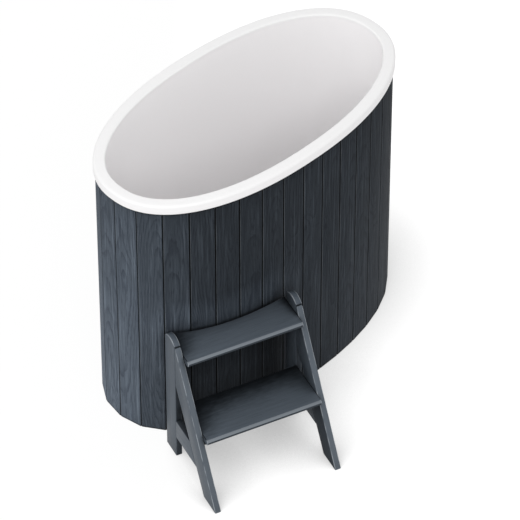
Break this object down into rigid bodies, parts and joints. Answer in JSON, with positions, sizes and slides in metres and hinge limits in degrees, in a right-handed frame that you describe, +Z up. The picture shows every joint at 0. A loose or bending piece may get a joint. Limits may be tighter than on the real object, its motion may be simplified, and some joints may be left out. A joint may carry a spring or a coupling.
{
  "type": "cold plunge tub",
  "caption": "Oval upright cold plunge tub with a moulded liner, a wall of painted boards, a drain valve at the back and a free-standing wooden stair.",
  "frame": {"origin": "on the floor under the middle of the tub, on the underside of the middle bearer", "axes": "+Z up, +X along the tub's length, -Y towards the side where the stair stands"},
  "size_m": [1.2815, 1.1354, 1.035],
  "materials": {
    "gelcoat": "smooth white gelcoat, satin gloss",
    "wall_paint": "dark blue-grey paint, wood grain showing through",
    "stair_paint": "dark blue-grey paint, smooth satin",
    "timber": "planed softwood, untreated",
    "plywood": "plywood, untreated",
    "plastic": "moulded dark grey plastic",
    "rubber": "matt black rubber",
    "valve_metal": "plated metal, satin"
  },
  "bodies": {
    "tub": {"liner": "gelcoat", "middle_ring": "plywood", "base_deck": "plywood", "bearer_left": "timber", "bearer_middle": "timber", "bearer_right": "timber", "stave_01": "wall_paint", "stave_02": "wall_paint", "stave_03": "wall_paint", "stave_04": "wall_paint", "stave_05": "wall_paint", "stave_06": "wall_paint", "stave_07": "wall_paint", "stave_08": "wall_paint", "stave_09": "wall_paint", "stave_10": "wall_paint", "stave_11": "wall_paint", "stave_12": "wall_paint", "stave_13": "wall_paint", "stave_14": "wall_paint", "stave_15": "wall_paint", "stave_16": "wall_paint", "stave_17": "wall_paint", "stave_18": "wall_paint", "stave_19": "wall_paint", "stave_20": "wall_paint", "stave_21": "wall_paint", "stave_22": "wall_paint", "stave_23": "wall_paint", "stave_24": "wall_paint", "stave_25": "wall_paint", "stave_26": "wall_paint", "stave_27": "wall_paint", "stave_28": "wall_paint", "stave_29": "wall_paint", "stave_30": "wall_paint", "stave_31": "wall_paint", "stave_32": "wall_paint", "stave_33": "wall_paint", "stave_34": "wall_paint", "drain_body": "plastic", "drain_gasket": "rubber", "drain_locknut": "plastic", "drain_elbow": "plastic", "drain_pipe": "plastic", "valve_body": "valve_metal"},
    "stair": {"stair_leg_left": "stair_paint", "stair_leg_right": "stair_paint", "stair_stringer_left": "stair_paint", "stair_stringer_right": "stair_paint", "stair_rail_left": "stair_paint", "stair_rail_right": "stair_paint", "upper_tread": "stair_paint", "lower_tread": "stair_paint", "upper_cleat_left": "stair_paint", "upper_cleat_right": "stair_paint", "lower_cleat_left": "stair_paint", "lower_cleat_right": "stair_paint"},
    "valve": {"valve_ball": "valve_metal", "valve_lever": "plastic"}
  },
  "joints": [
    {"name": "stair_pull", "type": "slide", "parent": "tub", "child": "stair", "axis": [-0.3123, -0.95, 0], "range_m": [0, 0.45]},
    {"name": "lever_turn", "type": "hinge", "parent": "tub", "child": "valve", "pos_m": [0.09043, 0.36997, 0.034], "axis": [0, 0, 1], "range_deg": [0, 90]}
  ]
}
